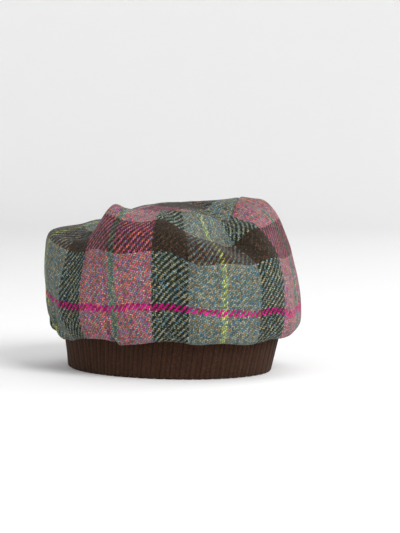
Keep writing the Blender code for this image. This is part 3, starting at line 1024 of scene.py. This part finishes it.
def make_top(material, edge, turn):
    """The top panel: a shallow dome of one cut oval, turned down into the seam at its edge."""
    middle = np.array([AXIS[0], AXIS[1] - BAND_FORWARD, edge[:, 2].mean()])
    inwards = middle[:2] - edge[:, :2]
    inwards /= np.linalg.norm(inwards, axis=-1, keepdims=True)
    rim = edge.copy()
    rim[:, :2] += inwards * CLEARANCE
    shares = 1 - (np.linspace(0, 1, TOP_RING_COUNT + 1)[:-1]) ** TOP_RING_EASE
    share = np.repeat(shares[:, None], len(turn), axis=1)
    upper = middle + (rim - middle) * share[..., None]
    upper[..., 2] = middle[2] + (rim[:, 2] - middle[2]) * share**2 + TOP_SWELL * (1 - share**2)
    radius = np.linalg.norm(rim[:, :2] - middle[:2], axis=-1)
    upper[..., 2] += panel_relief(np.broadcast_to(turn, share.shape), share, (1 - share) * radius)
    down = np.array([0.0, 0.0, CLOTH_THICKNESS])
    rings = np.concatenate([upper[inner_rows(len(upper))] - down, upper])
    pattern = np.array(TOP_PATTERN)
    uv = closed(rings[..., :2] - middle[:2]) + pattern
    crest = middle + np.array([0.0, 0.0, TOP_SWELL])
    count = len(turn)
    base = len(rings) * count
    last = base - count
    faces, cap_uv = [], []
    for i in range(count):
        after = (i + 1) % count
        faces.append((after, i, base))
        cap_uv += [uv[0, i + 1], uv[0, i], pattern]
        faces.append((last + i, last + after, base + 1))
        cap_uv += [uv[-1, i], uv[-1, i + 1], pattern]
    cap = {"points": np.array([crest - down, crest]), "faces": faces, "uv": np.array(cap_uv)}
    made = grid_mesh("crown_top_tweed", rings, uv, material, closed_section=False, cap=cap)
    face_outwards(made)
    return made


def even_turns(count, half_width, half_depth):
    """Turns that lie the same length apart round an oval, the first one at the front."""
    fine = np.linspace(0, 360, OVAL_STEPS + 1)
    points = outward(fine) * oval_radius(fine, half_width, half_depth)[:, None]
    length = np.concatenate([[0.0], np.linalg.norm(np.diff(points, axis=0), axis=-1).cumsum()])
    return np.interp(np.arange(count) / count * length[-1], length, fine)


def band_section():
    """The band's section: how far out of the knit's middle, how high, and how deep the grooves are there."""
    half = BAND_THICKNESS / 2
    heights = RIM_RADIUS + (BAND_HEIGHT - 2 * RIM_RADIUS) * np.linspace(0, 1, BAND_ROWS)
    section = [(half, height, 1.0) for height in heights]
    section.append((half * EDGE_FLATNESS, BAND_HEIGHT - CLEARANCE, EDGE_GROOVE))
    section.append((-half * EDGE_FLATNESS, BAND_HEIGHT - CLEARANCE, 0.0))
    section += [(-half, height, INNER_GROOVE) for height in heights[::-BAND_INNER_EVERY]]
    for angle in RIM_ANGLES:
        a = math.radians(angle)
        out = math.cos(a) * half
        section.append((out, RIM_RADIUS * (1 + math.sin(a)), 1.0 if out > 0 else RIM_GROOVE))
    return section


def make_band(material):
    """The rib knit band: rounded ribs outside, softer ones inside, and a scalloped fold at the rim."""
    count = RIB_COUNT * RIB_SEGMENTS
    turn = even_turns(count, RIM_HALF_WIDTH, RIM_HALF_DEPTH)
    at = np.arange(count) / RIB_SEGMENTS
    across = np.append(at, RIB_COUNT) + 0.5
    off_groove = np.abs((at + 0.5) % 1 - 0.5)
    groove = np.exp(-((off_groove / GROOVE_WIDTH) ** 2))
    crown = (1 - np.cos(np.pi * np.clip(off_groove * 2, 0, 1))) / 2
    rings, uv = [], []
    along = 0.0
    previous = None
    for out, height, grooved in band_section():
        shift = np.clip(height / BAND_HEIGHT, 0, 1)
        radius = band_radius(turn, shift) - BAND_THICKNESS / 2 + out
        radius -= RIB_DEPTH * grooved * groove + RIB_ROUNDING * max(grooved, 0) * (1 - crown)
        if out > 0:
            radius -= BAND_UNEVENNESS * (1 + soft_wave(turn, shift))
        lift = SCALLOP * groove * np.clip(1 - height / SCALLOP_HEIGHT, 0, 1)
        rings.append(place(turn, radius, height + lift, BAND_FORWARD * shift))
        if previous is not None:
            along += math.hypot(out - previous[0], height - previous[1])
        previous = (out, height)
        uv.append(np.stack([across, np.full(count + 1, along)], axis=-1))
    made = grid_mesh("rib_band_knit", np.array(rings), np.array(uv), material)
    face_outwards(made)
    return made


def soft_wave(turn, shift):
    """A slow unevenness of the band, from -1 to 1."""
    angle = np.radians(turn)
    waves = [np.sin(angle * count + start + shift * twist) for count, start, twist in BAND_WAVES]
    return sum(waves) / len(waves)


# Stage


def make_stage():
    """A pale floor that curves up into a wall all round, so that no view has an edge behind the hat."""
    profile = [(0.0, 0.0), (FLOOR_RING, 0.0), (FLOOR_RADIUS, 0.0)]
    for angle in range(10, 91, 10):
        a = math.radians(angle)
        profile.append((FLOOR_RADIUS + math.sin(a) * WALL_BEND, (1 - math.cos(a)) * WALL_BEND))
    profile.append((FLOOR_RADIUS + WALL_BEND, WALL_TOP))
    count = STAGE_SEGMENTS
    around = np.radians(np.arange(count) * 360 / count)
    points, faces = [(0.0, 0.0, 0.0)], []
    for radius, height in profile[1:]:
        points += [(radius * math.cos(a), radius * math.sin(a), height) for a in around]
    for i in range(count):
        after = (i + 1) % count
        faces.append((0, 1 + i, 1 + after))
        for ring in range(len(profile) - 2):
            low, high = 1 + ring * count, 1 + (ring + 1) * count
            faces.append((low + i, high + i, high + after, low + after))
    mesh = bpy.data.meshes.new("studio_floor")
    mesh.from_pydata(points, [], faces)
    mesh.update()
    mesh.shade_smooth()
    mesh.materials.append(plain_material("studio_white", FLOOR_COLOUR, FLOOR_ROUGHNESS, FLOOR_SPECULAR))
    floor = bpy.data.objects.new("studio_floor", mesh)
    bpy.context.scene.collection.objects.link(floor)
    world = bpy.data.worlds.new("studio")
    world.use_nodes = True
    background = world.node_tree.nodes["Background"]
    background.inputs["Color"].default_value = (1.0, 1.0, 1.0, 1.0)
    background.inputs["Strength"].default_value = WORLD_STRENGTH
    bpy.context.scene.world = world


def direction(azimuth, elevation):
    """The unit vector from the hat towards a place at this azimuth and elevation."""
    a, e = math.radians(azimuth), math.radians(elevation)
    return Vector((math.sin(a) * math.cos(e), -math.cos(a) * math.cos(e), math.sin(e)))


def make_lamps(target):
    for row in LAMPS:
        values = dict(zip(LAMP_COLUMNS, row))
        lamp = bpy.data.lights.new(values["name"], "AREA")
        lamp.shape = "SQUARE"
        lamp.size = values["size"]
        lamp.energy = values["watts"]
        made = bpy.data.objects.new(values["name"], lamp)
        towards = direction(values["azimuth"], values["elevation"])
        made.location = target + towards * values["distance"]
        made.rotation_euler = (-towards).to_track_quat("-Z", "Y").to_euler()
        bpy.context.scene.collection.objects.link(made)


def make_camera(target):
    """A long lens at the photo's scale, set so that the hat lies where the photo has it."""
    width, height = IMAGE_SIZE
    data = bpy.data.cameras.new("camera")
    data.sensor_width = SENSOR
    data.lens = PIXELS_PER_METRE * CAMERA_DISTANCE / max(width, height) * SENSOR
    data.clip_end = CAMERA_REACH
    made = bpy.data.objects.new("camera", data)
    back = direction(CAMERA_AZIMUTH, CAMERA_ELEVATION)
    turned = (-back).to_track_quat("-Z", "Y")
    right, up = turned @ Vector((1, 0, 0)), turned @ Vector((0, 1, 0))
    aside = (HAT_AT_PIXEL[0] - width / 2) / PIXELS_PER_METRE
    below = (HAT_AT_PIXEL[1] - height / 2) / PIXELS_PER_METRE
    made.location = target + back * CAMERA_DISTANCE - right * aside + up * below
    made.rotation_euler = turned.to_euler()
    bpy.context.scene.collection.objects.link(made)
    bpy.context.scene.camera = made


def main():
    bpy.context.scene.view_settings.view_transform = "Standard"
    middle = (cad_low + cad_high) / 2
    make_camera(middle)
    make_lamps(middle)
    make_stage()
    tweed = tweed_material("plaid_tweed")
    knit = knit_material("brown_rib_knit")
    turn = side_turns()
    side, outer = make_side(tweed, turn)
    top = make_top(tweed, outer[-1], turn)
    band = make_band(knit)
    for piece, node, slot in (
        (band, "rib_band", "rib_knit"),
        (side, "crown_side", "plaid_tweed"),
        (top, "crown_top", "plaid_tweed"),
    ):
        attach(piece, "root")
        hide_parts(node)


main()
